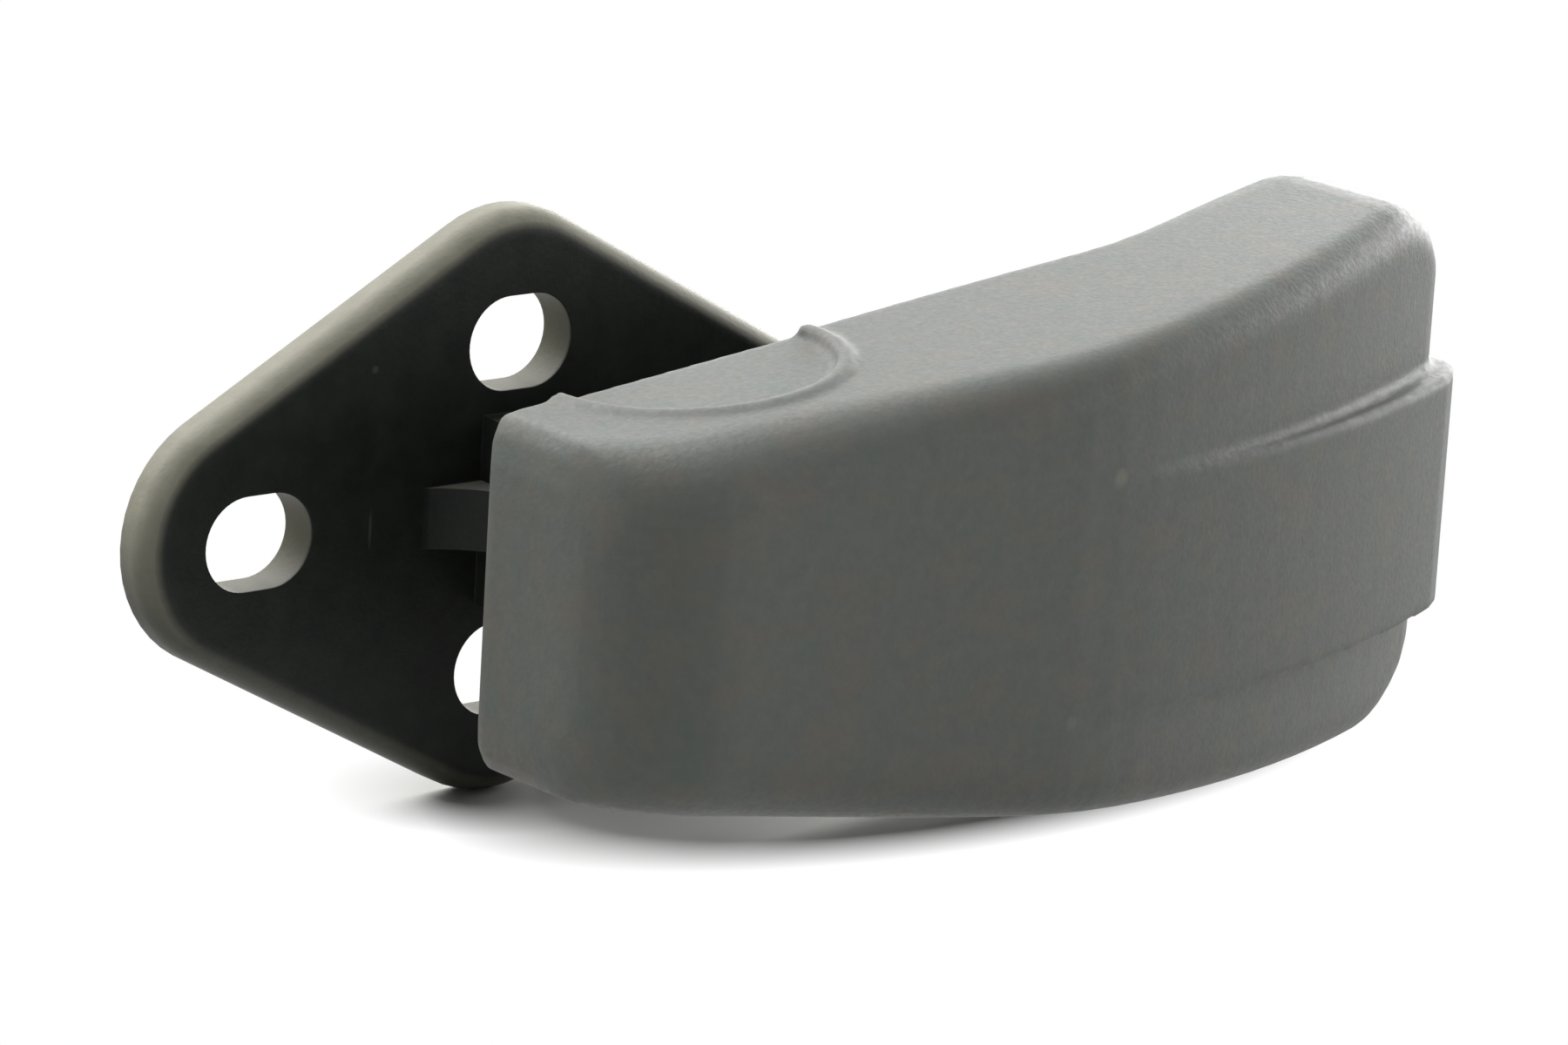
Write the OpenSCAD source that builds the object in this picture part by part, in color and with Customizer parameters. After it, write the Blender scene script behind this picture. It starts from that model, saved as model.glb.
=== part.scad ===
// Swing latch for a window: a four-hole mounting plate carries a hinge block,
// and a hollow paddle handle turns on an upright pin in front of it.
// The back of the plate lies on Y = 0, the front faces -Y, and the pin is parallel to Z.

/* [Mounting plate] */
// Distance between the left and right screw slots
hole_span_x = 42; // [40:0.5:48]
// Distance between the upper and lower screw slots
hole_span_z = 22.6; // [21:0.2:26]
// Width of each screw slot
screw_d = 6.5; // [4.5:0.1:7]
// Length of each screw slot, along X
slot_len = 8.6; // [7.2:0.1:9.4]
// Radius of the plate's corners, round the screw slots
corner_r = 9; // [8:0.1:10]
// Thickness of the plate
plate_t = 3; // [2.6:0.1:4]
// Rounding of the plate's front edge
plate_edge_r = 1.8; // [0.6:0.1:2]

/* [Hinge] */
// Distance from the back of the plate to the pin's axis
pivot_y = 20.4; // [19.9:0.1:23.4]
// Diameter of the hinge pin
pin_d = 4; // [3:0.1:4.2]
// Radius of the hinge block's rounded nose
nose_r = 4.6; // [4.4:0.1:5]
// Half height of the hinge block
block_half = 6.5; // [6:0.1:6.8]
// Width of the block's root to the left of the pin
block_left = 2.8; // [2:0.1:3.6]
// Width of the block's root to the right of the pin
block_right = 7; // [5:0.1:8]
// Thickness of the level web between the plate and the block
web_t = 4.2; // [3:0.1:6]
// Radius of the web's sweep from the plate into the block
web_r = 9.6; // [7:0.1:10]

/* [Handle] */
// Length of the handle behind the pin, to its heel
heel_len = 15.9; // [15:0.1:16.4]
// Length of the handle from the pin to its tip
tip_len = 71; // [67:0.5:76]
// Half height of the handle at the pin
half_at_pin = 13.6; // [13.5:0.1:15]
// Rise of the top and bottom faces for each millimetre towards the tip
flare = 0.115; // [0.06:0.001:0.12]
// Distance from the pin's axis to the front face
front_at_pin = 17.4; // [16.4:0.1:18.4]
// Distance from the pin's axis to the back edges
back_at_pin = 1; // [0.6:0.1:1.6]
// Where the front starts to bend back towards the window
bend_x = 17.5; // [14:0.5:24]
// How far the bulb at the tip stands out at the back
bulb_depth = 8; // [5:0.1:10]
// Wall of the hollow handle
wall = 2.4; // [2:0.1:3]
// Rounding of the front edges, from the middle to the tip
front_edge_r = 3; // [1.5:0.1:3.2]
// Rounding of the front edges at the heel
heel_front_r = 5.4; // [3.2:0.1:5.6]
// Rounding of the back edges
back_edge_r = 0.9; // [0.4:0.1:1.2]
// Radius of the flat land over the pin
land_r = 9.8; // [8:0.1:11]
// Depth of the land below the top face
land_depth = 0.45; // [0.3:0.05:0.9]
// Height of the rounded lip round the land
lip_rise = 0.35; // [0.1:0.05:0.5]
// Height of the thumb pad at the tip
pad_h = 17; // [14:0.2:18.4]
// How far the thumb pad stands proud at the tip
pad_proud = 2.4; // [1.2:0.1:2.8]
// How far the thumb pad's middle lies below the handle's at the tip
pad_drop = 2.3; // [0.5:0.1:2.6]

/* [Bearings and spring] */
// Thickness of each thrust washer
washer_t = 0.5; // [0.3:0.1:0.6]
// Wall of each flanged bush
bush_wall = 1; // [0.8:0.1:1.2]
// Length of each bush in its lug
bush_len = 2.4; // [2:0.1:2.8]
// Wire diameter of the torsion spring
wire_d = 0.9; // [0.6:0.1:1]
// Turns in the spring's coil
coil_turns = 4; // [3:1:4]

/* [Hidden] */
$fn = 64;

// Clearances and the depth by which joined shapes run into each other
run_gap = 0.04;
side_gap = 0.15;
stop_gap = 0.35;
overlap = 0.5;

// How far the web's sweep runs past the faces that it joins
web_bite = 0.8;

// Stack along the pin, from the hinge block outwards
flange_t = 0.6;
flange_z = block_half + washer_t + side_gap;
lug_z = flange_z + flange_t;
lug_end = lug_z + bush_len;
lug_cap = 0.8;
pin_r = pin_d / 2;
bush_r = pin_r + bush_wall;
flange_r = bush_r + 1.2;
lug_r = bush_r + 2.2;
head_t = 1.2;
head_z = lug_end + side_gap;

// Spring: the coil sits round the pin in a slot across the block
coil_pitch = wire_d + 0.12;
coil_r = pin_r + 0.5 + wire_d / 2;
coil_half = coil_turns * coil_pitch / 2;
slot_half = coil_half + wire_d / 2 + 0.35;
slot_back = coil_r + wire_d / 2 + 0.6;
leg_len = slot_back + 5;
arm_len = 11;
rib_gap = 0.02;

// Handle: the run of its front and back, and the fall of its flare
front_rise = 0.084;
bend_slope = 0.148;
bend_r = 116;
bend_blend = 0.6;
back_slope = 0.05;
back_straight = 10;
bulb_start = 36;
bulb_run = 25;
bulb_edge_r = 5;
flare_fall = 0.0004;

// Handle: end roundings, ribs and the stop beside the block
corner_blend = 7.8;
heel_edge_r = 1.6;
heel_crown = 5;
heel_run = 40;
tip_back_r = 9;
tip_crown_r = 1;
cavity_end = tip_len - 8.5;
rib_t = 1.8;
rib_inset = 1.2;
rib_places = [15, 31, 47];
stop_t = 2;
stop_back = 5;
lip_r = 1.1;
pad_start = 18;
pad_start_h = 16.2;
pad_start_drop = 0.5;
pad_sink = 0.2;
pad_crown = 2.9;
pad_back = 3;
pad_root = 1.5;
front_steps = 7;
back_steps = 4;

plate_black = "#26272b";
handle_grey = "#3a3b40";
steel = "#b9bcc2";
bronze = "#a98a4e";
acetal = "#e6e3da";

// Inset left by a rounding of radius r, at a distance d from the end
function rounded_in(d, r) = d >= r ? 0 : r - sqrt(max(0, r * r - (r - d) * (r - d)));

// Smooth rise from 0 to 1
function ease(t) = t <= 0 ? 0 : t >= 1 ? 1 : t * t * (3 - 2 * t);

// The lower of two values, blended over about k
function soft_min(a, b, k) = -k * ln(exp(-a / k) + exp(-b / k));

// Plan of the handle, as distances from the pin's axis that grow towards the front
function front_line(x) = front_at_pin + front_rise * x;
function front_bend(x) =
    let (past = x - bend_x)
    front_line(bend_x) + bend_blend - bend_slope * past - pow(max(0, past), 2) / (2 * bend_r);
function front_plain(x) = soft_min(front_line(x), front_bend(x), bend_blend);
function front_at(x) =
    front_plain(x) - rounded_in(x + heel_len, corner_blend) - rounded_in(tip_len - x, tip_front_r);
function back_plain(x) =
    -back_at_pin - back_slope * max(0, x - back_straight)
    - bulb_depth * ease((x - bulb_start) / bulb_run);
tip_t = front_plain(tip_len) - back_plain(tip_len);
tip_front_r = 0.42 * tip_t;
tip_back_depth = 0.52 * tip_t;
function back_at(x) =
    back_plain(x) + rounded_in(x + heel_len, heel_edge_r)
    + rounded_in(tip_len - x, tip_back_r) * tip_back_depth / tip_back_r;

// Half height of the handle, crowned at both ends
function half_plain(x) = half_at_pin + flare * x - flare_fall * max(0, x) * x;
tip_half = half_plain(tip_len);
tip_side_r = 0.58 * tip_half;
tip_crown = 0.3 * tip_half;
function half_at(x) =
    half_plain(x) - rounded_in(x + heel_len, heel_edge_r) * heel_crown / heel_edge_r
    - rounded_in(tip_len - x, tip_side_r) - rounded_in(tip_len - x, tip_crown_r) * tip_crown / tip_crown_r;

// Roundings of the front and back edges along the handle
function front_r_at(x) = heel_front_r + (front_edge_r - heel_front_r) * ease((x + heel_len) / heel_run);
function back_r_at(x) = back_edge_r + (bulb_edge_r - back_edge_r) * ease((x - bulb_start) / bulb_run);

// Stations along the handle, close together at the rounded ends
mid_start = corner_blend - heel_len;
mid_end = tip_len - tip_side_r;
heel_stations = [for (i = [0:8]) -heel_len + corner_blend * (1 - cos(90 * i / 8))];
mid_stations = [for (i = [1:19]) mid_start + (mid_end - mid_start) * i / 20];
tip_stations = [for (i = [0:10]) mid_end + tip_side_r * sin(90 * i / 10)];
stations = concat(heel_stations, mid_stations, tip_stations);

// A quarter turn of radius r about c, from angle a
function quarter(c, r, a, steps) =
    [for (i = [0:steps]) c + r * [cos(a + 90 * i / steps), sin(a + 90 * i / steps)]];

// Section of the handle's skin at x, as [distance to the front, height] points
function section(x) =
    let (f = front_at(x), b = back_at(x), h = half_at(x))
    let (rf = min(front_r_at(x), (f - b) / 2.2), rb = min(back_r_at(x), (f - b) / 4))
    concat(
        quarter([f - rf, h - rf], rf, 0, front_steps),
        quarter([b + rb, h - rb], rb, 90, back_steps),
        quarter([b + rb, rb - h], rb, 180, back_steps),
        quarter([f - rf, rf - h], rf, 270, front_steps)
    );

// Skin through a row of rings that all have the same number of points
module loft(rings) {
    n = len(rings[0]);
    last = len(rings) - 1;
    points = [for (ring = rings) each ring];
    sides = [for (k = [0:last - 1], i = [0:n - 1])
        let (a = k * n + i, b = k * n + (i + 1) % n)
        each [[a, b, a + n], [b, b + n, a + n]]];
    start = [for (i = [n - 1:-1:0]) i];
    finish = [for (i = [0:n - 1]) last * n + i];
    polyhedron(points, concat(sides, [start], [finish]));
}

// Round wire along a path that never runs straight up
function unit(v) = v / norm(v);
module wire(path, r, n = 10) {
    last = len(path) - 1;
    loft([for (k = [0:last])
        let (ahead = unit(path[min(k + 1, last)] - path[max(k - 1, 0)]))
        let (side = unit(cross([0, 0, 1], ahead)), up = cross(ahead, side))
        [for (i = [0:n - 1]) path[k] + r * (cos(360 * i / n) * side - sin(360 * i / n) * up)]]);
}

// Puts a shape at the pin's axis
module at_pin() {
    translate([0, -pivot_y, 0]) children();
}

// Upright cylinder between two heights
module upright(r, z0, z1) {
    translate([0, 0, z0]) cylinder(r = r, h = z1 - z0);
}

// Box between two corners
module box(low, high) {
    translate(low) cube(high - low);
}

// The shape and its mirror image below the middle plane
module above_and_below() {
    children();
    mirror([0, 0, 1]) children();
}

// Centres of the screw slots, in order round the plate
hole_centres = [
    [hole_span_x / 2, 0],
    [0, hole_span_z / 2],
    [-hole_span_x / 2, 0],
    [0, -hole_span_z / 2]
];

// Half section of the plate's edge: square at the back, rounded at the front
module edge_profile() {
    square([corner_r - plate_edge_r, plate_t]);
    square([corner_r, plate_t - plate_edge_r]);
    translate([corner_r - plate_edge_r, plate_t - plate_edge_r]) intersection() {
        circle(plate_edge_r, $fn = 24);
        square(plate_edge_r);
    }
}

// Disc round one screw slot, rounded at its front edge
module corner_disc() {
    rotate_extrude($fn = 48) edge_profile();
}

// Plate drawn flat, with its front upwards: a skin stretched round the four discs
module flat_plate() {
    hull() for (centre = hole_centres) translate(centre) corner_disc();
}

// Screw slots, straight through the plate
module screw_slots() {
    shift = (slot_len - screw_d) / 2;
    depth = plate_t + 2 * overlap;
    for (centre = hole_centres) translate([centre[0], centre[1], -overlap]) {
        for (x = [-shift, shift]) translate([x, 0, 0]) cylinder(d = screw_d, h = depth);
        translate([-shift, -screw_d / 2, 0]) cube([2 * shift, screw_d, depth]);
    }
}

// Plan of the hinge block, from the pin's axis back into the plate
root_y = pivot_y - plate_t;
module block_plan() {
    circle(nose_r);
    polygon([
        [-nose_r, 0],
        [nose_r, 0],
        [block_right, root_y + overlap],
        [-block_left, root_y + overlap]
    ]);
}

// Plan of the level web, swept from the plate into both sides of the block
module web_plan() {
    reach = web_r - web_bite;
    difference() {
        translate([-block_left - reach, root_y - reach])
            square([block_left + block_right + 2 * reach, reach + overlap]);
        for (x = [-block_left - reach, block_right + reach])
            translate([x, root_y - reach]) circle(web_r);
    }
}

// Mounting plate, hinge block and web: one moulding
module base_plate() {
    color(plate_black) difference() {
        union() {
            rotate([90, 0, 0]) flat_plate();
            at_pin() translate([0, 0, -block_half]) linear_extrude(2 * block_half) block_plan();
            at_pin() translate([0, 0, -web_t / 2]) linear_extrude(web_t) web_plan();
        }
        rotate([90, 0, 0]) screw_slots();
        at_pin() {
            upright(pin_r, -block_half - overlap, block_half + overlap);
            box([-2 * nose_r, -2 * nose_r, -slot_half], [2 * nose_r, slot_back, slot_half]);
            translate([coil_r, 0, -coil_half]) rotate([-90, 0, 0])
                cylinder(d = wire_d + 0.3, h = leg_len + overlap);
        }
    }
}

// Outer skin of the handle
module handle_skin() {
    loft([for (x = stations) [for (p = section(x)) [x, -p[0], p[1]]]]);
}

// Hollow of the handle, open at the back
module handle_hollow() {
    xs = [for (i = [0:16]) wall - heel_len + i * (cavity_end + heel_len - wall) / 16];
    front = [for (x = xs) [x, wall - front_at(x)]];
    over = [for (x = xs) [x, half_plain(x) - wall]];
    under = [for (i = [len(xs) - 1:-1:0]) [xs[i], wall - half_plain(xs[i])]];
    behind = 2 * bulb_depth;
    intersection() {
        translate([0, 0, -2 * half_at_pin]) linear_extrude(4 * half_at_pin)
            polygon(concat(front, [[cavity_end, behind], [wall - heel_len, behind]]));
        translate([0, behind, 0]) rotate([90, 0, 0]) linear_extrude(behind + 2 * front_at_pin)
            polygon(concat(over, under));
    }
}

// Stiffening ribs across the hollow, and one along its middle
module handle_ribs() {
    for (x = rib_places)
        box([x - rib_t / 2, wall / 2 - front_at(x + rib_t / 2), wall / 2 - half_plain(x - rib_t / 2)],
            [x + rib_t / 2, -back_at(x) - rib_inset, half_plain(x - rib_t / 2) - wall / 2]);
    first = rib_places[0];
    xs = [for (i = [0:12]) first + i * (cavity_end + wall / 2 - first) / 12];
    front = [for (x = xs) [x, wall / 2 - front_at(x)]];
    behind = [for (i = [len(xs) - 1:-1:0]) [xs[i], -back_at(xs[i]) - 2 * rib_inset]];
    translate([0, 0, -rib_t / 2]) linear_extrude(rib_t) polygon(concat(front, behind));
}

// Block between a lug and the skin, sloped like the skin
module lug_block() {
    bite = 0.8 * wall;
    ends = [-lug_r, lug_r];
    front = [for (x = ends) [x, bite - front_at(x)]];
    top = [for (x = ends) [x, half_plain(x) - bite]];
    intersection() {
        linear_extrude(2 * half_at_pin) polygon([[lug_r, 0], [-lug_r, 0], each front]);
        rotate([90, 0, 0]) linear_extrude(2 * front_at_pin)
            polygon([[lug_r, lug_z], [-lug_r, lug_z], each top]);
    }
}

// Lugs that carry the pin, the stop beside the block, and the rib behind the spring's arm
module handle_lugs() {
    rib_x = coil_r + wire_d / 2 + rib_gap;
    stop_x = nose_r + (block_right - nose_r) * stop_back / root_y + stop_gap;
    above_and_below() {
        upright(lug_r, lug_z, lug_end + lug_cap);
        lug_block();
        box([0, -lug_r, lug_z], [stop_x + stop_t, stop_back, lug_end]);
    }
    box([stop_x, -lug_r, -lug_z - overlap], [stop_x + stop_t, stop_back, lug_z + overlap]);
    box([rib_x, wall / 2 - front_at(rib_x), -lug_z - overlap],
        [rib_x + rib_t, -nose_r - stop_gap, lug_z + overlap]);
}

// Puts a shape on the top face over the pin, parallel to it
module on_top() {
    translate([0, 0, half_at_pin]) rotate([0, -atan(flare), 0]) children();
}

// Flat half-round land in the top face
module land_cut() {
    on_top() upright(land_r, -land_depth, 2);
}

// Rounded lip in front of the land
module land_lip() {
    reach = land_r + 2 * lip_r;
    on_top() intersection() {
        rotate_extrude() translate([land_r + lip_r / 2, lip_rise - lip_r]) circle(lip_r);
        box([-reach, -reach, -2], [reach, back_at_pin - back_edge_r / 2, 2]);
    }
}

// Thumb pad: a wedge that grows out of the front and wraps round the tip
pad_knee = tip_len - tip_front_r;
function pad_rise(x) = (pad_proud + pad_sink) * (x - pad_start) / (pad_knee - pad_start) - pad_sink;
module pad_side() {
    nose_r = tip_front_r + pad_proud;
    xs = [for (x = stations) if (x >= pad_start && x < pad_knee) x];
    outer = [for (x = xs) [x, -front_plain(x) - pad_rise(x)]];
    nose = [for (a = [0:15:90]) let (x = pad_knee + nose_r * sin(a))
        [x, tip_front_r - nose_r * cos(a) - front_plain(x)]];
    root = [tip_len - pad_root, tip_front_r + pad_back - front_plain(tip_len)];
    inner = [for (i = [len(xs) - 1:-1:0]) if (xs[i] < cavity_end + wall / 2)
        [xs[i], wall / 2 - front_plain(xs[i])]];
    polygon(concat(outer, nose, [root], inner));
}
module pad_front() {
    end = [for (i = [-6:6])
        [tip_len + pad_proud - pad_crown * pow(i / 6, 4), -pad_drop - i * pad_h / 12]];
    polygon(concat(
        [[pad_start, pad_start_h / 2 - pad_start_drop]],
        end,
        [[pad_start, -pad_start_h / 2 - pad_start_drop]]
    ));
}
module thumb_pad() {
    depth = 2 * front_at_pin;
    intersection() {
        translate([0, 0, -pad_h]) linear_extrude(2 * pad_h) pad_side();
        translate([0, depth / 2, 0]) rotate([90, 0, 0]) linear_extrude(2 * depth) pad_front();
    }
}

// Hollow paddle handle: one moulding
module handle() {
    color(handle_grey) at_pin() difference() {
        union() {
            difference() {
                handle_skin();
                handle_hollow();
            }
            handle_ribs();
            handle_lugs();
            thumb_pad();
            above_and_below() land_lip();
        }
        above_and_below() land_cut();
        upright(bush_r, -lug_end - overlap, lug_end + lug_cap / 3);
        upright(bush_r + stop_gap, -2 * half_at_pin, -lug_end);
    }
}

// Headed pin, pressed into the hinge block from below
module hinge_pin() {
    color(steel) at_pin() {
        upright(pin_r, -head_z - overlap, lug_end);
        upright(bush_r, -head_z - head_t, -head_z);
    }
}

// Flanged bush for the upper lug
module flanged_bush() {
    at_pin() difference() {
        union() {
            upright(flange_r, flange_z, lug_z);
            upright(bush_r, flange_z, lug_end);
        }
        upright(pin_r + run_gap, flange_z - overlap, lug_end + overlap);
    }
}

module upper_bush() {
    color(bronze) flanged_bush();
}

module lower_bush() {
    color(bronze) mirror([0, 0, 1]) flanged_bush();
}

// Thrust washer on top of the hinge block
module thrust_washer() {
    at_pin() difference() {
        upright(flange_r, block_half, block_half + washer_t);
        upright(pin_r + run_gap, block_half - overlap, block_half + washer_t + overlap);
    }
}

module upper_washer() {
    color(acetal) thrust_washer();
}

module lower_washer() {
    color(acetal) mirror([0, 0, 1]) thrust_washer();
}

// Torsion spring: a leg in the block, the coil round the pin, an arm against the handle's rib
module torsion_spring() {
    steps = 24 * coil_turns;
    coil = [for (i = [0:steps]) let (turn = 360 * i / 24)
        [coil_r * cos(turn), -coil_r * sin(turn), -coil_half + coil_pitch * i / 24]];
    leg = [[coil_r, leg_len, -coil_half], [coil_r, 0.4, -coil_half]];
    arm = [[coil_r, -0.4, coil_half], [coil_r, -arm_len, coil_half]];
    color(steel) at_pin() wire(concat(leg, coil, arm), wire_d / 2);
}

base_plate();
handle();
hinge_pin();
upper_bush();
lower_bush();
upper_washer();
lower_washer();
torsion_spring();
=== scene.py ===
"""Looks of a swing latch for a window: finishes, floor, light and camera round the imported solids."""

import logging
import math
from dataclasses import dataclass, field
from enum import Enum
from typing import Protocol

import bpy
from mathutils import Matrix, Vector


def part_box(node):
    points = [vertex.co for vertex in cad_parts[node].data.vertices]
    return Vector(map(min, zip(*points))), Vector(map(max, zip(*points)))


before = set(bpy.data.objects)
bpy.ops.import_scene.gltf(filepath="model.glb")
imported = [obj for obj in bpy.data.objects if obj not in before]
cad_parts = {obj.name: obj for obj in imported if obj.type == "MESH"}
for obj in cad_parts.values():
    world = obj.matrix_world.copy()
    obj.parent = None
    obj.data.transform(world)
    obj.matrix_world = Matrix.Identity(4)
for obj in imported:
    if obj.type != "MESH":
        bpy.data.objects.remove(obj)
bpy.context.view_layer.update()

MM = 0.001
WHITE = "#ffffff"
# Numbers of a Mix node's two colours, which share their names with its other inputs.
BELOW, ABOVE = 6, 7
Colour = tuple[float, float, float, float]
Point = tuple[float, float, float]
Span = tuple[float, float]
Source = bpy.types.Node | bpy.types.NodeSocket
Inputs = dict[str | int, object]
log = logging.getLogger("window_latch")


class Ray(str, Enum):
    """Kinds of light path that the white surroundings are shown to."""

    CAMERA = "Is Camera Ray"
    GLOSSY = "Is Glossy Ray"
    TRANSMISSION = "Is Transmission Ray"


def linear(hex_colour: str) -> Colour:
    """Turns an sRGB hex colour into linear values.

    Args:
        hex_colour: colour such as "#5e5e5e".

    Returns:
        Red, green, blue and an alpha of 1, in linear light.
    """
    parts = [int(hex_colour[i:i + 2], 16) / 255 for i in (1, 3, 5)]
    r, g, b = (p / 12.92 if p <= 0.04045 else ((p + 0.055) / 1.055) ** 2.4 for p in parts)
    return r, g, b, 1.0


def per_metre(size_mm: float) -> float:
    """Gives the pattern scale of features with a real size.

    Args:
        size_mm: size of one feature, in millimetres.

    Returns:
        Features in a metre.
    """
    return 1 / (size_mm * MM)


def metres(point_mm: Point) -> Point:
    """Turns a point in millimetres into metres.

    Args:
        point_mm: the point, in millimetres.

    Returns:
        The same point, in metres.
    """
    x, y, z = point_mm
    return x * MM, y * MM, z * MM


def add_node(tree: bpy.types.NodeTree, kind: str, inputs: Inputs | None = None,
             **settings: object) -> bpy.types.Node:
    """Adds one shader node with its settings and links.

    Args:
        tree: node tree that takes the node.
        kind: Blender's type name of the node.
        inputs: by socket name or number, a value, a socket to link from, or a node to link from by its first
            output in use.
        **settings: properties of the node.

    Returns:
        The new node.
    """
    node = tree.nodes.new(kind)
    for name, value in settings.items():
        setattr(node, name, value)
    for key, value in (inputs or {}).items():
        if isinstance(value, bpy.types.Node):
            value = next(socket for socket in value.outputs if socket.enabled)
        if isinstance(value, bpy.types.NodeSocket):
            tree.links.new(value, node.inputs[key])
        else:
            node.inputs[key].default_value = value
    return node


@dataclass(frozen=True)
class Clouds:
    """One cloudy pattern in a finish.

    Attributes:
        size_mm: size of one cloud, line or pore.
        detail: octaves of finer clouds.
        stretch: scale of the pattern along each axis, so lines run where it is small.
        span: values of the pattern at which it starts to count and counts in full.
        strength: share of the clouds' own colour where they count in full.
    """

    size_mm: float
    detail: float = 3.0
    stretch: Point = (1, 1, 1)
    span: Span = (0.3, 0.7)
    strength: float = 1.0


@dataclass(frozen=True)
class Relief:
    """Fine relief of a surface, with its broken edges.

    Attributes:
        pattern: its grain, lines or pores.
        depth_mm: its depth.
        strength: how strongly it tilts the surface.
        edge_mm: radius to which crisp edges look broken.
    """

    pattern: Clouds
    depth_mm: float
    strength: float
    edge_mm: float = 0.15


@dataclass(frozen=True)
class Mark:
    """One small worn or pale mark, or a small painted highlight.

    Attributes:
        centre_mm: its middle, in the part's frame.
        radius_mm: its radius.
        stretch: how strongly distance counts along each axis, so small values draw it out.
        strength: share of the pale colour in its middle.
    """

    centre_mm: Point
    radius_mm: float
    stretch: Point
    strength: float


class Shading:
    """One material's node tree, with the patterns that the finishes share.

    Attributes:
        OCTAVE_GAIN: weight of each finer octave of clouds.
        MARK_CORE: share of a mark's radius that has its full strength.
        EDGE_SAMPLES: rays that look for an edge to soften.
        material: the material.
        tree: its node tree.
        place: position in the part's frame.
        facing: direction that the surface faces.
    """

    OCTAVE_GAIN = 0.6
    MARK_CORE = 0.4
    EDGE_SAMPLES = 6

    def __init__(self, name: str) -> None:
        """Makes an empty material.

        Args:
            name: material and process.
        """
        self.material = bpy.data.materials.new(name)
        self.material.use_nodes = True
        self.tree = self.material.node_tree
        self.tree.nodes.clear()
        coordinates = self.add("ShaderNodeTexCoord")
        self.place = coordinates.outputs["Object"]
        self.facing = coordinates.outputs["Normal"]

    def add(self, kind: str, inputs: Inputs | None = None, **settings: object) -> bpy.types.Node:
        """Adds a node to this material, as add_node does."""
        return add_node(self.tree, kind, inputs, **settings)

    def clouds(self, layer: Clouds) -> bpy.types.Node:
        """Adds a cloudy pattern at its real size.

        Args:
            layer: the pattern.

        Returns:
            The pattern, from 0 to 1.
        """
        drawn = self.add("ShaderNodeVectorMath", {0: self.place, 1: layer.stretch}, operation="MULTIPLY")
        return self.add("ShaderNodeTexNoise", {"Vector": drawn, "Scale": per_metre(layer.size_mm),
                                               "Detail": layer.detail, "Roughness": self.OCTAVE_GAIN})

    def varied(self, layer: Clouds, start: float, end: float) -> bpy.types.Node:
        """Adds a value that follows a cloudy pattern.

        Args:
            layer: the pattern.
            start: value where the pattern starts to count.
            end: value where it counts in full.

        Returns:
            The value.
        """
        return self.add("ShaderNodeMapRange", {"Value": self.clouds(layer), "From Min": layer.span[0],
                                               "From Max": layer.span[1], "To Min": start, "To Max": end})

    def clouded(self, colour: Source | Colour, layer: Clouds, tint: str) -> bpy.types.Node:
        """Lays clouds of another colour over a colour.

        Args:
            colour: the colour below.
            layer: the clouds.
            tint: hex colour of the clouds.

        Returns:
            The clouded colour.
        """
        share = self.varied(layer, 0.0, layer.strength)
        return self.add("ShaderNodeMix", {"Factor": share, BELOW: colour, ABOVE: linear(tint)},
                        data_type="RGBA")

    def marked(self, colour: Source, marks: tuple[Mark, ...], tint: str) -> Source:
        """Lays soft round or drawn-out marks over a colour.

        Args:
            colour: the colour below.
            marks: the marks.
            tint: hex colour of the marks.

        Returns:
            The marked colour.
        """
        for mark in marks:
            centre, radius = metres(mark.centre_mm), mark.radius_mm * MM
            off = self.add("ShaderNodeVectorMath", {0: self.place, 1: centre}, operation="SUBTRACT")
            drawn = self.add("ShaderNodeVectorMath", {0: off, 1: mark.stretch}, operation="MULTIPLY")
            far = self.add("ShaderNodeVectorMath", {0: drawn}, operation="LENGTH")
            share = self.add("ShaderNodeMapRange", {"Value": far, "From Min": radius, "To Max": mark.strength,
                                                    "From Max": self.MARK_CORE * radius})
            colour = self.add("ShaderNodeMix", {"Factor": share, BELOW: colour, ABOVE: linear(tint)},
                              data_type="RGBA")
        return colour

    def finish(self, colour: Source, roughness: Source, relief: Relief,
               **values: float) -> bpy.types.Material:
        """Adds the surface and closes the material.

        Args:
            colour: base colour.
            roughness: roughness.
            relief: fine relief and softened edges.
            **values: other inputs of the surface, with underscores for spaces.

        Returns:
            The finished material.
        """
        soft = self.add("ShaderNodeBevel", {"Radius": relief.edge_mm * MM}, samples=self.EDGE_SAMPLES)
        bump = self.add("ShaderNodeBump", {"Height": self.clouds(relief.pattern), "Strength": relief.strength,
                                           "Distance": relief.depth_mm * MM, "Normal": soft})
        inputs = {"Base Color": colour, "Roughness": roughness, "Normal": bump}
        inputs.update({key.replace("_", " "): value for key, value in values.items()})
        surface = self.add("ShaderNodeBsdfPrincipled", inputs)
        self.add("ShaderNodeOutputMaterial", {"Surface": surface})
        return self.material


class Finish(Protocol):
    """What every finish can do."""

    def make(self) -> bpy.types.Material:
        """Makes the material."""


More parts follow.
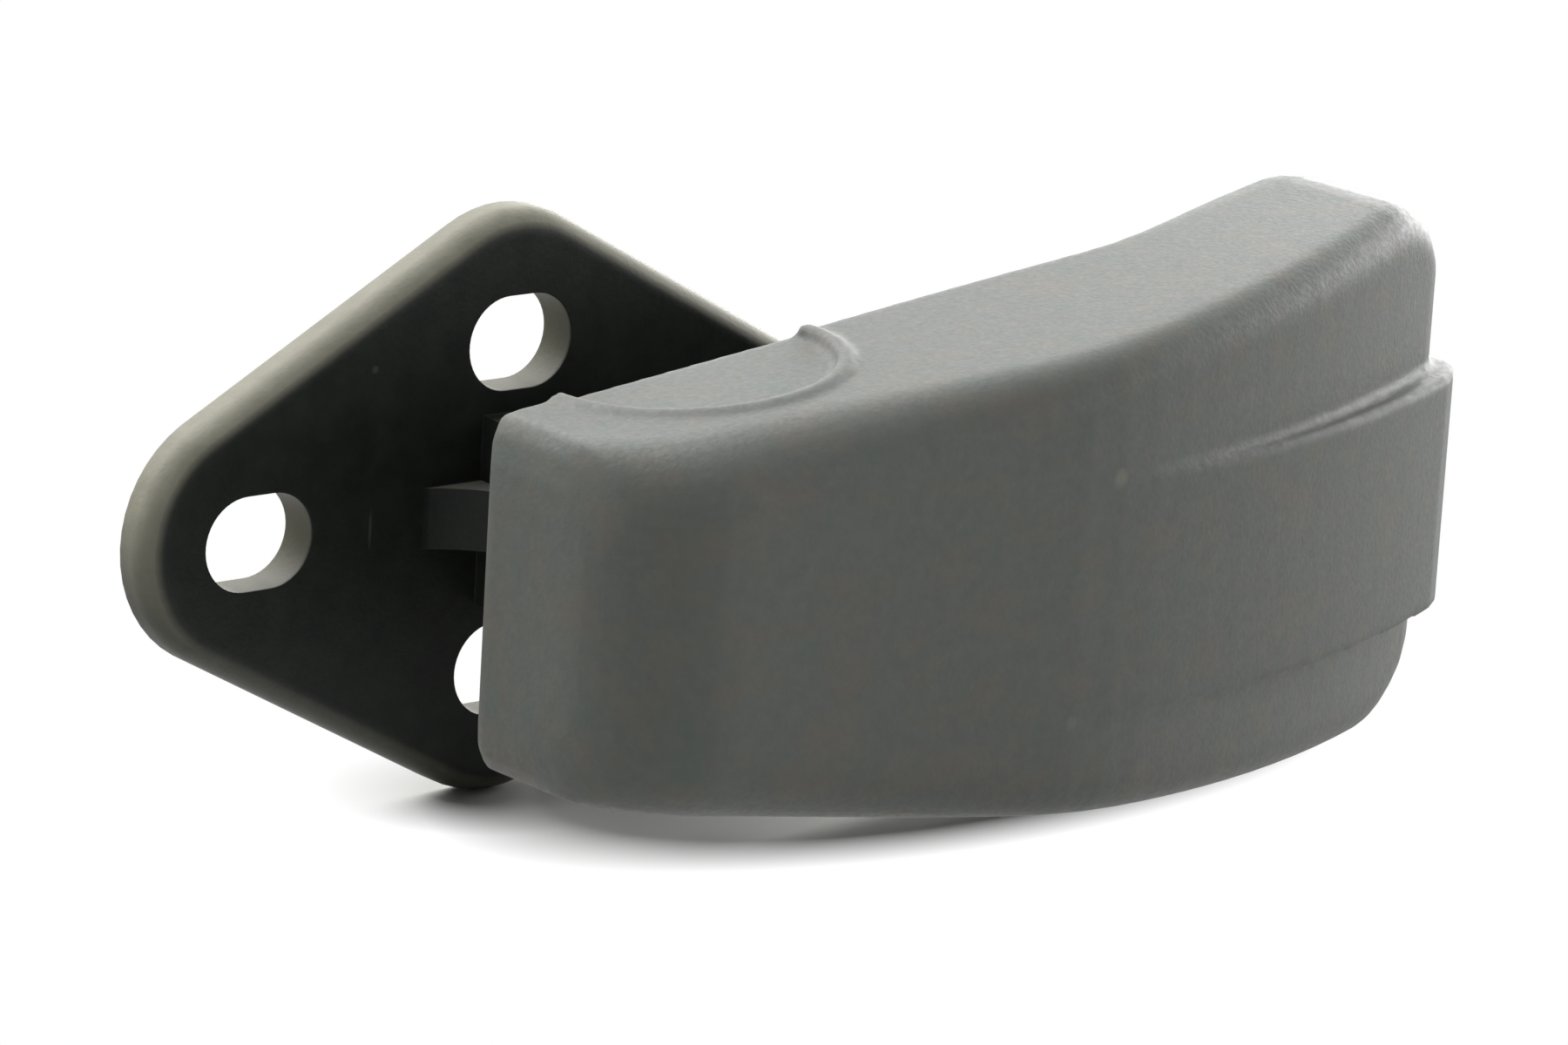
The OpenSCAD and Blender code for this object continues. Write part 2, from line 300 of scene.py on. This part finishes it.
@dataclass(frozen=True)
class PlateNylon:
    """Black glass-filled nylon, moulded, with a paler rounded rim, painted paler still where it looks up as a
    painted highlight.

    Attributes:
        face: hex colours of the face.
        mottle: clouds of the paler face colour.
        rim: hex colours of the rubbed rim.
        rim_clouds: clouds of the paler rim colour.
        relief: the tool's satin grain.
        shine: roughness of the face and of the rubbed rim.
        plate_t_mm: thickness of the plate.
        rim_start_mm: depths behind the front face over which the side walls' colour comes in.
        back_facing: how far a face looks back where it counts as the back and where as a side wall.
        rim_highlight_facing: how far a face looks up where the rim's painted highlight is least and where it
            is full.
        least_rim_highlight: share of the paler rim colour on faces that look down, where the painted
            highlight is least.
        slots_mm: half spans of the screw slots, across and up.
        slot_clear_mm: distance from a slot's middle within which the rim's paler colour is not laid.
        slot_fade_mm: width of the change there, for the rim and for the slots' walls.
        slot_wall_light: hex colour of painted light on the slots' walls.
        web_top_highlight: hex colour of the painted highlight on the web's top.
        web_z_mm: heights where the web top's painted highlight fades in, is full, is still full and has faded
            out.
        web_y_mm: distances before the plate's front face over which it fades in.
        web_highlight_facing: how far a face looks up where it is not the web's lit top and where it is.
        web_highlight_strength: share of the painted highlight's colour there.
        scuff: hex colour of scratches and specks.
        marks: one scratch and one speck.
    """

    face: tuple[str, str] = ("#202321", "#2c302c")
    mottle: Clouds = Clouds(2.5, 5.0, span=(0.35, 0.68))
    rim: tuple[str, str] = ("#878678", "#a2a092")
    rim_clouds: Clouds = Clouds(1.6, 4.0, span=(0.0, 1.0))
    # The tool's real satin grain is finer; it is drawn coarser, so that it shows.
    relief: Relief = Relief(Clouds(0.35), 0.3, 0.12)
    # shine: roughness of the face and of the paler rim.
    shine: Span = (0.5, 0.6)
    plate_t_mm: float = 3.0
    rim_start_mm: Span = (0.04, 0.3)
    back_facing: Span = (0.7, 0.4)
    rim_highlight_facing: Span = (-0.5, 0.3)
    least_rim_highlight: float = 0.2
    slots_mm: Span = (21.0, 11.3)
    slot_clear_mm: float = 5.2
    slot_fade_mm: Span = (0.4, 0.5)
    slot_wall_light: str = "#5a594c"
    web_top_highlight: str = "#b4b4ac"
    web_z_mm: tuple[float, float, float, float] = (1.6, 1.8, 2.9, 3.0)
    web_y_mm: Span = (0.1, 0.2)
    web_highlight_facing: Span = (0.7, 0.9)
    web_highlight_strength: float = 0.8
    scuff: str = "#5f6664"
    marks: tuple[Mark, ...] = (
        Mark((-11.95, -3.0, -0.2), 0.16, (1, 1, 0.1), 0.5),
        Mark((-12.1, -3.0, 10.7), 0.35, (1, 1, 1), 0.4),
    )

    def from_slots(self, s: Shading) -> bpy.types.Node:
        """Measures how far a place is from the nearest slot's middle, seen from the front.

        Args:
            s: the material.

        Returns:
            The distance, in metres.
        """
        across, up = self.slots_mm
        flat = s.add("ShaderNodeVectorMath", {0: s.place, 1: (1, 0, 1)}, operation="MULTIPLY")
        folded = s.add("ShaderNodeVectorMath", {0: flat}, operation="ABSOLUTE")
        far = [s.add("ShaderNodeVectorMath", {0: folded, 1: metres(centre)}, operation="DISTANCE")
               for centre in ((across, 0, 0), (0, 0, up))]
        return s.add("ShaderNodeMath", {0: far[0], 1: far[1]}, operation="MINIMUM")

    def side_walls(self, s: Shading, ahead: Source, back: Source) -> bpy.types.Node:
        """Finds the plate's side walls, the outer ones and those of the slots.

        Args:
            s: the material.
            ahead: place along Y.
            back: how far the surface looks along Y.

        Returns:
            1 on the walls, and 0 on the front and the back.
        """
        start, full = (-(self.plate_t_mm - depth) * MM for depth in self.rim_start_mm)
        behind = s.add("ShaderNodeMapRange", {"Value": ahead, "From Min": start, "From Max": full})
        beside = s.add("ShaderNodeMapRange", {"Value": back, "From Min": self.back_facing[0],
                                              "From Max": self.back_facing[1]})
        return s.add("ShaderNodeMath", {0: behind, 1: beside}, operation="MULTIPLY")

    def web_highlight_share(self, s: Shading, ahead: Source, height: Source, upward: Source) -> bpy.types.Node:
        """Finds the top of the web that stands out of the plate, where a highlight is painted.

        Args:
            s: the material.
            ahead: place along Y.
            height: place along Z.
            upward: how far the surface looks up.

        Returns:
            Share of the painted highlight's colour.
        """
        low, full, still_full, high = (z * MM for z in self.web_z_mm)
        near, far = (-(self.plate_t_mm + y) * MM for y in self.web_y_mm)
        cover = s.add("ShaderNodeMapRange", {"Value": upward, "From Min": self.web_highlight_facing[0],
                                             "From Max": self.web_highlight_facing[1], "To Max": self.web_highlight_strength})
        for value, start, end in ((height, low, full), (height, high, still_full), (ahead, near, far)):
            limit = s.add("ShaderNodeMapRange", {"Value": value, "From Min": start, "From Max": end})
            cover = s.add("ShaderNodeMath", {0: cover, 1: limit}, operation="MULTIPLY")
        return cover

    def make(self) -> bpy.types.Material:
        """Makes the material.

        Returns:
            The material.
        """
        # To the eye: a satin near black with faint clouds and a matt, warm grey rim, painted paler where it
        # looks up as a painted highlight; the slots' walls and the web's top carry painted light.
        s = Shading("black_nylon_moulded")
        place = s.add("ShaderNodeSeparateXYZ", {0: s.place}).outputs
        facing = s.add("ShaderNodeSeparateXYZ", {0: s.facing}).outputs
        far = self.from_slots(s)
        walls = self.side_walls(s, place["Y"], facing["Y"])
        edge = self.slot_clear_mm * MM
        rim_fade, wall_fade = (width * MM for width in self.slot_fade_mm)
        outer = s.add("ShaderNodeMapRange", {"Value": far, "From Min": edge - rim_fade, "From Max": edge})
        inner = s.add("ShaderNodeMapRange", {"Value": far, "From Min": edge, "From Max": edge - wall_fade})
        # The rim's paler colour is strongest on faces that look up: a painted highlight.
        rim_upward_highlight = s.add("ShaderNodeMapRange", {"Value": facing["Z"], "From Min": self.rim_highlight_facing[0],
                                               "From Max": self.rim_highlight_facing[1], "To Min": self.least_rim_highlight})
        outer_walls = s.add("ShaderNodeMath", {0: outer, 1: walls}, operation="MULTIPLY")
        # Painted light on the slots' walls, where light from behind reaches them through the slots.
        lit_slot_walls = s.add("ShaderNodeMath", {0: inner, 1: walls}, operation="MULTIPLY")
        pale_rim_highlight = s.add("ShaderNodeMath", {0: outer_walls, 1: rim_upward_highlight}, operation="MULTIPLY")
        # Painted highlight on the web's top.
        web = self.web_highlight_share(s, place["Y"], place["Z"], facing["Z"])
        colour = s.clouded(linear(self.face[0]), self.mottle, self.face[1])
        rim = s.clouded(linear(self.rim[0]), self.rim_clouds, self.rim[1])
        for share, tint in ((pale_rim_highlight, rim), (lit_slot_walls, linear(self.slot_wall_light)), (web, linear(self.web_top_highlight))):
            colour = s.add("ShaderNodeMix", {"Factor": share, BELOW: colour, ABOVE: tint}, data_type="RGBA")
        colour = s.marked(colour, self.marks, self.scuff)
        roughness = s.add("ShaderNodeMapRange", {"Value": pale_rim_highlight, "To Min": self.shine[0],
                                                 "To Max": self.shine[1]})
        return s.finish(colour, roughness, self.relief, IOR=1.5, Specular_IOR_Level=0.2)


@dataclass(frozen=True)
class HandleNylon:
    """Charcoal glass-filled nylon, moulded in a spark-eroded tool.

    Attributes:
        grey: hex colours of the plain grey.
        plain: clouds of the paler grey.
        cool: hex colour of the bluish clouds.
        cool_clouds: where they lie.
        warm: hex colour of the brownish clouds.
        warm_clouds: where they lie.
        relief: the tool's grain, and edges soft enough to hide the loft's flats.
        shine: roughness in the grain's hollows and on its tops.
        pad_corner_glint: hex colour of painted highlights.
        marks: painted highlights on the corners where the thumb pad begins.
    """

    grey: tuple[str, str] = ("#5a5d59", "#62645f")
    plain: Clouds = Clouds(1.1, 4.0)
    cool: str = "#55605c"
    cool_clouds: Clouds = Clouds(3.0, 4.0, (1, 1.3, 0.8), (0.48, 0.75), 0.7)
    warm: str = "#686158"
    warm_clouds: Clouds = Clouds(3.6, 4.0, (0.8, 1, 1.4), (0.5, 0.75), 0.7)
    # The real spark-eroded grain is finer; it is drawn coarser, so that it shows.
    relief: Relief = Relief(Clouds(0.4), 0.35, 0.12, 1.0)
    shine: Span = (0.5, 0.66)
    pad_corner_glint: str = "#8d8e80"
    # Painted highlights on the corners where the thumb pad begins.
    marks: tuple[Mark, ...] = (
        Mark((22.0, -38.2, 7.6), 0.8, (1, 0.2, 1), 0.4),
        Mark((18.9, -38.6, -8.6), 0.6, (1, 0.2, 1), 0.2),
    )

    def make(self) -> bpy.types.Material:
        """Makes the material.

        Returns:
            The material.
        """
        # To the eye: an even matt grey with faint warm and cool clouds, grain that breaks the highlights, and
        # painted highlights where the thumb pad begins.
        s = Shading("charcoal_nylon_moulded")
        colour = s.clouded(linear(self.grey[0]), self.plain, self.grey[1])
        colour = s.clouded(colour, self.cool_clouds, self.cool)
        colour = s.clouded(colour, self.warm_clouds, self.warm)
        # Painted highlights where the thumb pad begins.
        colour = s.marked(colour, self.marks, self.pad_corner_glint)
        roughness = s.varied(self.relief.pattern, *self.shine)
        return s.finish(colour, roughness, self.relief, IOR=1.5, Specular_IOR_Level=0.45)


@dataclass(frozen=True)
class BareMetal:
    """Bare metal with the lines or pores of its process.

    Attributes:
        name: material and process.
        tones: hex colours of its darker and paler places.
        pattern: its lines or pores.
        shine: roughness of the darker and the paler places.
        strength: how strongly the lines or pores tilt the surface.
    """

    name: str
    tones: tuple[str, str]
    pattern: Clouds
    shine: Span
    strength: float = 0.15

    def make(self) -> bpy.types.Material:
        """Makes the material.

        Returns:
            The material.
        """
        # To the eye: bright metal whose mirror is broken by fine lines or pores.
        s = Shading(self.name)
        colour = s.clouded(linear(self.tones[0]), self.pattern, self.tones[1])
        roughness = s.varied(self.pattern, *self.shine)
        # The lines or pores are half as deep as they are wide.
        relief = Relief(self.pattern, self.pattern.size_mm / 2, self.strength)
        return s.finish(colour, roughness, relief, Metallic=1.0)


@dataclass(frozen=True)
class TurnedAcetal:
    """Natural acetal, turned and parted off.

    Attributes:
        tones: hex colours of its darker and paler places.
        milk: clouds of the paler colour.
        relief: faint marks of the tool.
        shine: roughness between the marks and on them.
    """

    tones: tuple[str, str] = ("#d9d5c9", "#e6e3da")
    milk: Clouds = Clouds(0.25, span=(0.0, 1.0))
    # A turning tool's real marks are finer; they are drawn coarser, so that they show.
    relief: Relief = Relief(Clouds(0.25), 0.1, 0.1)
    shine: Span = (0.35, 0.5)

    def make(self) -> bpy.types.Material:
        """Makes the material.

        Returns:
            The material.
        """
        # To the eye: milky white with a soft sheen.
        s = Shading("natural_acetal_turned")
        colour = s.clouded(linear(self.tones[0]), self.milk, self.tones[1])
        roughness = s.varied(self.relief.pattern, *self.shine)
        return s.finish(colour, roughness, self.relief, IOR=1.48)


def smooth(node: bpy.types.Object, angle_deg: float, weld_mm: float = 0.002, flat_weight: int = 80) -> None:
    """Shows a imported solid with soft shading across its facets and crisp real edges.

    Args:
        node: the solid.
        angle_deg: edges sharper than this stay crisp.
        weld_mm: corners nearer than this become one.
        flat_weight: how much large faces lead the shading, where 50 is even.
    """
    for face in node.data.polygons:
        face.use_smooth = True
    weld = node.modifiers.new("join_facets", "WELD")
    weld.merge_threshold = weld_mm * MM
    split = node.modifiers.new("crisp_edges", "EDGE_SPLIT")
    split.split_angle = math.radians(angle_deg)
    even = node.modifiers.new("even_shading", "WEIGHTED_NORMAL")
    even.weight = flat_weight


def dress(name: str, finish: Finish, angle_deg: float = 32.0) -> bpy.types.Object:
    """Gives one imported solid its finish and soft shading.

    Args:
        name: the solid's name.
        finish: its finish.
        angle_deg: edges sharper than this stay crisp.

    Returns:
        The solid.
    """
    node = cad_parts[name]
    node.data.materials.clear()
    node.data.materials.append(finish.make())
    smooth(node, angle_deg)
    log.info("dressed %s", name)
    return node


@dataclass
class MountingPlate:
    """The black rhombus plate with its hinge block and web, one moulding.

    Attributes:
        finish: its black nylon.
    """

    finish: PlateNylon = field(default_factory=PlateNylon)

    def build(self) -> None:
        """Dresses the plate."""
        dress("base_plate", self.finish)


@dataclass
class PaddleHandle:
    """The hollow charcoal handle with its land and thumb pad, one moulding.

    Attributes:
        finish: its charcoal nylon.
        grid_mm: size of the even grid that its edges are broken on.
        softness: how far each pass moves a corner towards its neighbours.
        passes: number of passes.
        kept: share of the grid's faces that is kept.
        crisp_deg: edges sharper than this stay crisp, so none do.
    """

    finish: HandleNylon = field(default_factory=HandleNylon)
    grid_mm: float = 0.25
    softness: float = 0.5
    passes: int = 3
    kept: float = 0.25
    crisp_deg: float = 180.0

    def build(self) -> None:
        """Dresses the handle and breaks its edges, as a moulding's are."""
        node = dress("handle", self.finish, self.crisp_deg)
        even = node.modifiers.new("even_grid", "REMESH")
        even.mode = "VOXEL"
        even.voxel_size = self.grid_mm * MM
        even.use_smooth_shade = True
        broken = node.modifiers.new("broken_edges", "SMOOTH")
        broken.factor = self.softness
        broken.iterations = self.passes
        thinned = node.modifiers.new("thinned_flats", "DECIMATE")
        thinned.ratio = self.kept


@dataclass
class HingeSet:
    """The pin, its two bushes, the two thrust washers and the torsion spring.

    Attributes:
        pin: ground steel of the pin, with fine rings.
        wire: drawn steel of the spring.
        wire_crisp_deg: edges of the wire sharper than this stay crisp.
        bush: sintered bronze of the bushes, with open pores.
        washer: acetal of the washers.
    """

    # Real grinding lines, drawing marks and pores are finer; they are drawn coarser, so that they show.
    pin: BareMetal = BareMetal("steel_centreless_ground", ("#9a9ca0", "#c6c8cb"),
                               Clouds(0.12, 4.0, (1, 1, 8)), (0.4, 0.22))
    wire: BareMetal = BareMetal("spring_steel_drawn", ("#6f7276", "#9a9da1"), Clouds(0.15, 4.0), (0.5, 0.3))
    wire_crisp_deg: float = 50.0
    bush: BareMetal = BareMetal("bronze_sintered", ("#7d6136", "#b08d4f"), Clouds(0.2, 4.0), (0.65, 0.4))
    washer: TurnedAcetal = field(default_factory=TurnedAcetal)

    def build(self) -> None:
        """Dresses every piece of the hinge."""
        dress("hinge_pin", self.pin)
        dress("torsion_spring", self.wire, self.wire_crisp_deg)
        for name in ("upper_bush", "lower_bush"):
            dress(name, self.bush)
        for name in ("upper_washer", "lower_washer"):
            dress(name, self.washer)


@dataclass(frozen=True)
class Softbox:
    """One lamp that faces the latch.

    Attributes:
        name: name of the lamp.
        place_m: where it hangs.
        size_m: width and height of its face.
        radiance: brightness of its face, where 1 is paper white.
    """

    name: str
    place_m: Point
    size_m: Span
    radiance: float

    def build(self, aim: Vector) -> None:
        """Hangs the lamp.

        Args:
            aim: point that it faces.
        """
        data = bpy.data.lights.new(self.name, "AREA")
        data.shape = "RECTANGLE"
        data.size, data.size_y = self.size_m
        # Watts of an evenly bright face: pi times its area times its brightness.
        data.energy = math.pi * data.size * data.size_y * self.radiance
        lamp = bpy.data.objects.new(self.name, data)
        turn = (aim - Vector(self.place_m)).to_track_quat("-Z", "Y").to_matrix().to_4x4()
        lamp.matrix_world = Matrix.Translation(self.place_m) @ turn
        bpy.context.scene.collection.objects.link(lamp)


@dataclass(frozen=True)
class ContactShade:
    """An oval of the floor that shows the latch's shadow, before the paper fades into white.

    Attributes:
        centre_m: its middle on the floor.
        stretch: how strongly distance counts along X and Y.
        reach_m: distances where the fade starts and ends.
    """

    centre_m: Span
    stretch: Span
    reach_m: Span

    def fade(self, tree: bpy.types.NodeTree, place: bpy.types.NodeSocket) -> bpy.types.Node:
        """Adds the fade to the floor's material.

        Args:
            tree: node tree that takes the nodes.
            place: position on the floor.

        Returns:
            0 in the oval and 1 outside it.
        """
        off = add_node(tree, "ShaderNodeVectorMath", {0: place, 1: (*self.centre_m, 0)}, operation="SUBTRACT")
        oval = add_node(tree, "ShaderNodeVectorMath", {0: off, 1: (*self.stretch, 1)}, operation="MULTIPLY")
        far = add_node(tree, "ShaderNodeVectorMath", {0: oval}, operation="LENGTH")
        return add_node(tree, "ShaderNodeMapRange", {"Value": far, "From Min": self.reach_m[0],
                                                     "From Max": self.reach_m[1]})


@dataclass(frozen=True)
class Stage:
    """Floor, light and camera.

    Attributes:
        azimuth: camera's turn from the -Y axis, in degrees.
        elevation: camera's height above the level, in degrees.
        roll: camera's lean, in degrees.
        distance_m: from the camera's plane to the part's origin.
        pixels_per_mm: scale of the photograph at that distance.
        origin_px: where the part's origin lies in the photograph.
        photo_px: size of the photograph.
        sensor_mm: width of the camera's sensor.
        clip_m: nearest and furthest distance that the camera sees.
        room: brightness of the room as a light.
        paper: hex colour of the floor.
        floor_half_m: half the floor's width.
        tip_inset_m: how far before the tip's end the handle touches the floor.
        shade: places where the floor shows the latch's shadow.
        aim_m: point that the lamps face.
        lamps: the softboxes.
    """

    azimuth: float = -40.72
    elevation: float = 14.66
    roll: float = 3.41
    distance_m: float = 0.49956
    pixels_per_mm: float = 16.995
    origin_px: Span = (557.25, 568.29)
    photo_px: Span = (1800, 1200)
    sensor_mm: float = 36
    clip_m: Span = (0.01, 20)
    room: float = 0.19
    paper: str = "#b8b8b5"
    floor_half_m: float = 3.0
    tip_inset_m: float = 0.009
    shade: tuple[ContactShade, ...] = (
        ContactShade((0.030, -0.010), (0.526, 1), (0.0155, 0.0205)),
        ContactShade((-0.001, -0.0015), (1, 1), (0.003, 0.010)),
    )
    aim_m: Point = (0.025, -0.02, 0)
    lamps: tuple[Softbox, ...] = (
        Softbox("top_softbox", (-0.08, 0.46, 0.64), (0.95, 0.95), 4.5),
        Softbox("back_softbox", (0.5, 0.7, 0.3), (0.7, 0.7), 1.3),
        Softbox("right_softbox", (0.74, 0.27, 0.08), (0.6, 0.28), 15.0),
        Softbox("front_softbox", (0.7, -0.7, 0.16), (0.9, 0.4), 1.9),
    )

    def camera(self) -> None:
        """Makes the camera at the photograph's viewing angle."""
        a, e, r = (math.radians(v) for v in (self.azimuth, self.elevation, self.roll))
        back = Vector((math.sin(a) * math.cos(e), -math.cos(a) * math.cos(e), math.sin(e)))
        level = Vector((math.cos(a), math.sin(a), 0))
        rise = back.cross(level)
        right = math.cos(r) * level + math.sin(r) * rise
        up = math.cos(r) * rise - math.sin(r) * level
        metres_per_px = MM / self.pixels_per_mm
        across = (self.origin_px[0] - self.photo_px[0] / 2) * metres_per_px
        down = (self.origin_px[1] - self.photo_px[1] / 2) * metres_per_px
        data = bpy.data.cameras.new("photo_camera")
        data.sensor_width = self.sensor_mm
        data.lens = data.sensor_width * self.distance_m / (self.photo_px[0] * metres_per_px)
        data.clip_start, data.clip_end = self.clip_m
        camera = bpy.data.objects.new("photo_camera", data)
        place = back * self.distance_m - right * across + up * down
        camera.matrix_world = Matrix.Translation(place) @ Matrix((right, up, back)).transposed().to_4x4()
        bpy.context.scene.collection.objects.link(camera)
        bpy.context.scene.camera = camera

    @staticmethod
    def seen(tree: bpy.types.NodeTree) -> Source:
        """Finds out whether a light path is one that the white surroundings are shown to.

        Args:
            tree: node tree that takes the nodes.

        Returns:
            1 for those paths and 0 for others.
        """
        paths = add_node(tree, "ShaderNodeLightPath").outputs
        found, *others = (paths[ray.value] for ray in Ray)
        for other in others:
            found = add_node(tree, "ShaderNodeMath", {0: found, 1: other}, operation="MAXIMUM")
        return found

    def paper_finish(self) -> bpy.types.Material:
        """Makes the floor's material.

        Returns:
            The material.
        """
        # To the eye: matt pale paper round the latch's shadow, which fades into plain white further out.
        material = bpy.data.materials.new("white_paper_floor")
        material.use_nodes = True
        tree = material.node_tree
        tree.nodes.clear()
        place = add_node(tree, "ShaderNodeTexCoord").outputs["Object"]
        share = self.seen(tree)
        for shade in self.shade:
            fade = shade.fade(tree, place)
            share = add_node(tree, "ShaderNodeMath", {0: share, 1: fade}, operation="MULTIPLY")
        matt = add_node(tree, "ShaderNodeBsdfDiffuse", {"Color": linear(self.paper)})
        white = add_node(tree, "ShaderNodeEmission", {"Color": linear(WHITE), "Strength": 1.0})
        mix = add_node(tree, "ShaderNodeMixShader", {0: share, 1: matt, 2: white})
        add_node(tree, "ShaderNodeOutputMaterial", {"Surface": mix})
        return material

    def floor(self) -> None:
        """Lays the pale floor that the latch stands on, touching the plate's corner and the tip."""
        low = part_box("base_plate")[0].z
        tip_low, tip_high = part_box("handle")
        slope = math.atan((tip_low.z - low) / (tip_high.x - self.tip_inset_m))
        half = self.floor_half_m
        corners = [(-half, -half, 0), (half, -half, 0), (half, half, 0), (-half, half, 0)]
        mesh = bpy.data.meshes.new("floor")
        mesh.from_pydata(corners, [], [(0, 1, 2, 3)])
        mesh.materials.append(self.paper_finish())
        floor = bpy.data.objects.new("floor", mesh)
        floor.matrix_world = Matrix.Translation((0, 0, low)) @ Matrix.Rotation(-slope, 4, "Y")
        bpy.context.scene.collection.objects.link(floor)

    def world(self) -> None:
        """Makes the pale room: white where it is seen or mirrored, dimmer as a light."""
        world = bpy.data.worlds.new("pale_room")
        world.use_nodes = True
        tree = world.node_tree
        tree.nodes.clear()
        light, white = (add_node(tree, "ShaderNodeBackground", {"Color": linear(WHITE), "Strength": strength})
                        for strength in (self.room, 1.0))
        mix = add_node(tree, "ShaderNodeMixShader", {0: self.seen(tree), 1: light, 2: white})
        add_node(tree, "ShaderNodeOutputWorld", {"Surface": mix})
        bpy.context.scene.world = world

    def build(self) -> None:
        """Sets up the whole stage."""
        bpy.context.scene.view_settings.view_transform = "Standard"
        self.camera()
        self.floor()
        self.world()
        for lamp in self.lamps:
            lamp.build(Vector(self.aim_m))


def main() -> None:
    """Dresses the latch from its plate outwards, then sets up the stage."""
    logging.basicConfig(level=logging.INFO, format="%(name)s: %(message)s")
    for part in (MountingPlate(), HingeSet(), PaddleHandle(), Stage()):
        part.build()
        log.info("built %s", type(part).__name__)


if __name__ == "__main__":
    main()
